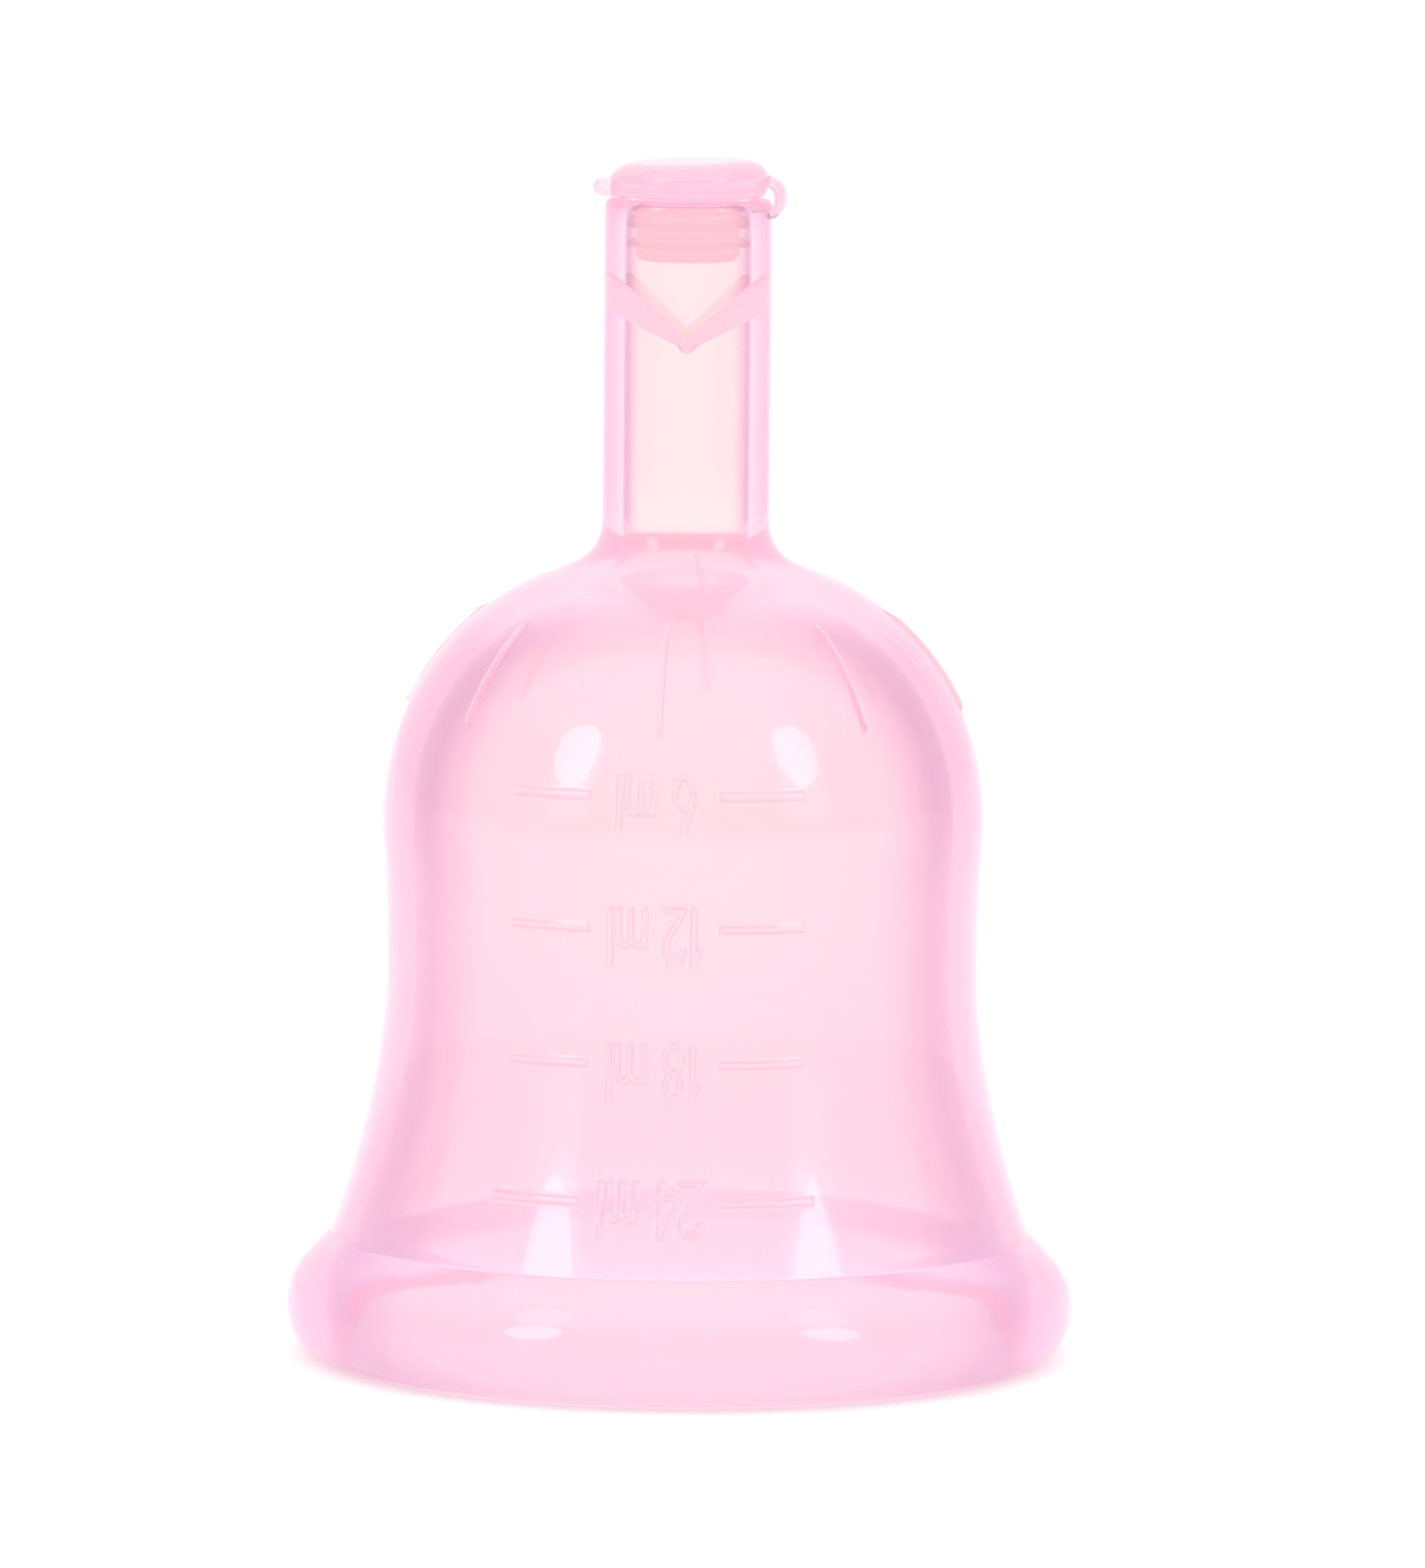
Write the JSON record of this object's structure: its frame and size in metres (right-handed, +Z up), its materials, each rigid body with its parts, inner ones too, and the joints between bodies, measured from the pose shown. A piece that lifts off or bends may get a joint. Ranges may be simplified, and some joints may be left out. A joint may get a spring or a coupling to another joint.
{
  "type": "silicone drain cup",
  "caption": "Translucent pink silicone bell cup standing on its rolled rim, with a hollow drain stem, a duckbill valve and a tethered stopper.",
  "frame": {"origin": "centre of the circle that the rim rests on", "axes": "+Z up along the stem, -Y towards the side with the graduations, +X towards the stopper's tether"},
  "size_m": [0.0462, 0.0462, 0.0699],
  "materials": {
    "cup_silicone": "smooth satin translucent silicone",
    "stopper_silicone": "smooth satin translucent silicone, thick",
    "valve_silicone": "smooth satin translucent silicone"
  },
  "bodies": {
    "cup": {"rim_ring": "cup_silicone", "bell_wall": "cup_silicone", "stem_collar": "cup_silicone", "drain_stem": "cup_silicone", "tether_strap": "cup_silicone", "grip_ridge_1": "cup_silicone", "grip_ridge_2": "cup_silicone", "grip_ridge_3": "cup_silicone", "grip_ridge_4": "cup_silicone", "grip_ridge_5": "cup_silicone", "grip_ridge_6": "cup_silicone", "grip_ridge_7": "cup_silicone", "grip_ridge_8": "cup_silicone", "mark_06_left": "cup_silicone", "mark_06_right": "cup_silicone", "mark_12_left": "cup_silicone", "mark_12_right": "cup_silicone", "mark_18_left": "cup_silicone", "mark_18_right": "cup_silicone", "mark_24_left": "cup_silicone", "mark_24_right": "cup_silicone"},
    "stopper": {"stopper_head": "stopper_silicone", "stopper_plug": "stopper_silicone", "plug_seal_upper": "stopper_silicone", "plug_seal_lower": "stopper_silicone", "pull_tab": "stopper_silicone"},
    "left_lip": {"valve_lip_left": "valve_silicone"},
    "right_lip": {"valve_lip_right": "valve_silicone"}
  },
  "joints": [
    {"name": "stopper_swing", "type": "hinge", "parent": "cup", "child": "stopper", "pos_m": [0.0066, 0, 0.0668], "axis": [0, 1, 0], "range_deg": [0, 135], "deforming": ["tether_strap"]},
    {"name": "left_lip_open", "type": "hinge", "parent": "cup", "child": "left_lip", "pos_m": [-0.00335, 0, 0.0623], "axis": [0, 1, 0], "range_deg": [0, 10], "stiffness_Nm_per_rad": 0.0001},
    {"name": "right_lip_open", "type": "hinge", "parent": "cup", "child": "right_lip", "pos_m": [0.00335, 0, 0.0623], "axis": [0, 1, 0], "range_deg": [-10, 0], "stiffness_Nm_per_rad": 0.0001}
  ],
  "couplings": [
    {"joint": "right_lip_open", "follows": "left_lip_open", "ratio": -1}
  ]
}
